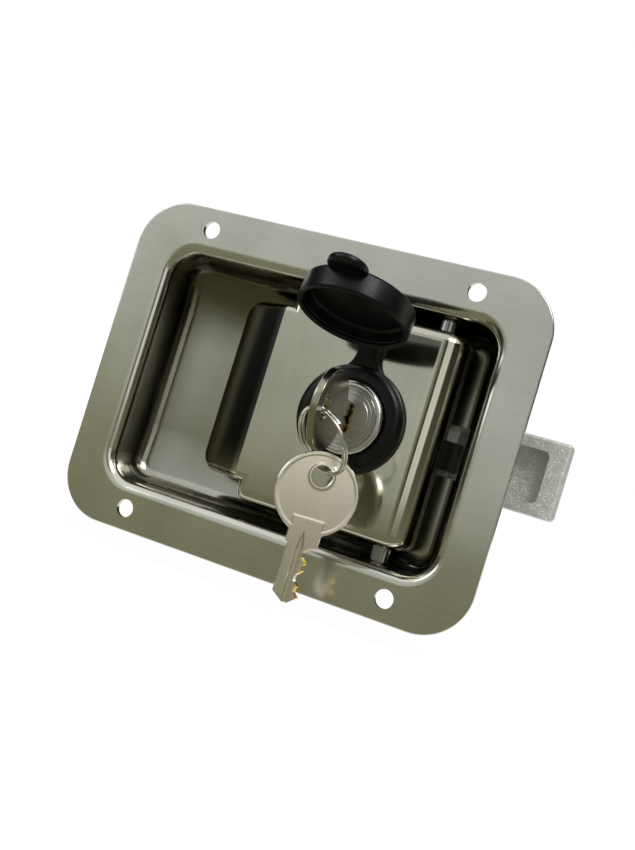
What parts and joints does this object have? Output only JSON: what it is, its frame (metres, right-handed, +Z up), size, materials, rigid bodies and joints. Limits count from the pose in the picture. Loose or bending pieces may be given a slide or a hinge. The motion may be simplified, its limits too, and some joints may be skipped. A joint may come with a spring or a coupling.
{
  "type": "paddle latch",
  "caption": "Flush paddle latch: pressed dish with a sprung paddle, key lock with hinged weather cap, and a slam bolt driven by the paddle.",
  "frame": {"origin": "middle of the flange's back face, which seats on the panel", "axes": "+X the way the bolt shoots, +Y into the panel, +Z up as the latch hangs in a door"},
  "size_m": [0.1525, 0.0804, 0.1091],
  "materials": {
    "flange_steel": "brushed stainless sheet",
    "paddle_steel": "mirror polished stainless sheet",
    "zinc_cast": "raw zinc die casting",
    "zinc_plate": "zinc plated steel",
    "lock_nickel": "satin chromed zinc",
    "spring_steel": "bright spring wire",
    "key_nickel": "nickel plated brass",
    "rubber_black": "black moulded rubber"
  },
  "bodies": {
    "frame": {"pan": "flange_steel", "bolt_housing": "zinc_plate", "housing_rivets": "zinc_plate", "spring_seats": "zinc_plate", "bolt_springs": "spring_steel", "hinge_pin": "zinc_plate", "pin_clips": "spring_steel", "pin_bushes": "zinc_plate", "return_spring": "spring_steel"},
    "paddle": {"paddle": "paddle_steel", "lock_housing": "lock_nickel", "lock_washer": "zinc_plate", "lock_nut": "zinc_plate", "cap_ring": "rubber_black", "cap_strap": "rubber_black", "crank_arm": "zinc_plate"},
    "plug": {"lock_plug": "lock_nickel", "lock_cam": "zinc_plate", "cam_screw": "zinc_plate"},
    "key": {"key_in_lock": "key_nickel"},
    "ring": {"split_ring": "spring_steel"},
    "spare_key": {"hanging_key": "key_nickel"},
    "cap": {"weather_cap": "rubber_black"},
    "bolt": {"bolt": "zinc_cast"}
  },
  "joints": [
    {"name": "paddle_hinge", "type": "hinge", "parent": "frame", "child": "paddle", "pos_m": [0.0377, 0.007, 0], "axis": [0, 0, 1], "range_deg": [0, 38], "stiffness_Nm_per_rad": 0.12, "springref_deg": -34.38, "deforming": ["return_spring"]},
    {"name": "bolt_slide", "type": "slide", "parent": "frame", "child": "bolt", "axis": [1, 0, 0], "range_m": [-0.0139, 0], "stiffness_N_per_m": 250, "springref_m": 0.02, "deforming": ["bolt_springs"]},
    {"name": "key_turn", "type": "hinge", "parent": "paddle", "child": "plug", "pos_m": [0.0192, 0, 0.0006], "axis": [0, -1, 0], "range_deg": [-90, 0]},
    {"name": "key_withdraw", "type": "slide", "parent": "plug", "child": "key", "axis": [0, -1, 0], "range_m": [0, 0.026]},
    {"name": "ring_swing", "type": "hinge", "parent": "key", "child": "ring", "pos_m": [0.0192, -0.0302, -0.00015], "axis": [1, 0, 0], "range_deg": [-30, 0]},
    {"name": "spare_key_swing", "type": "hinge", "parent": "ring", "child": "spare_key", "pos_m": [0.02192, -0.01863, -0.0162], "axis": [-0.8927, 0.4174, 0.1699], "range_deg": [-12, 4]},
    {"name": "cap_hinge", "type": "hinge", "parent": "paddle", "child": "cap", "pos_m": [0.0192, -0.0068, 0.0216], "axis": [-1, 0, 0], "range_deg": [-20, 55], "stiffness_Nm_per_rad": 0.01, "deforming": ["cap_strap"]}
  ],
  "couplings": [
    {"joint": "bolt_slide", "follows": "paddle_hinge", "m_per_rad": -0.02095}
  ]
}
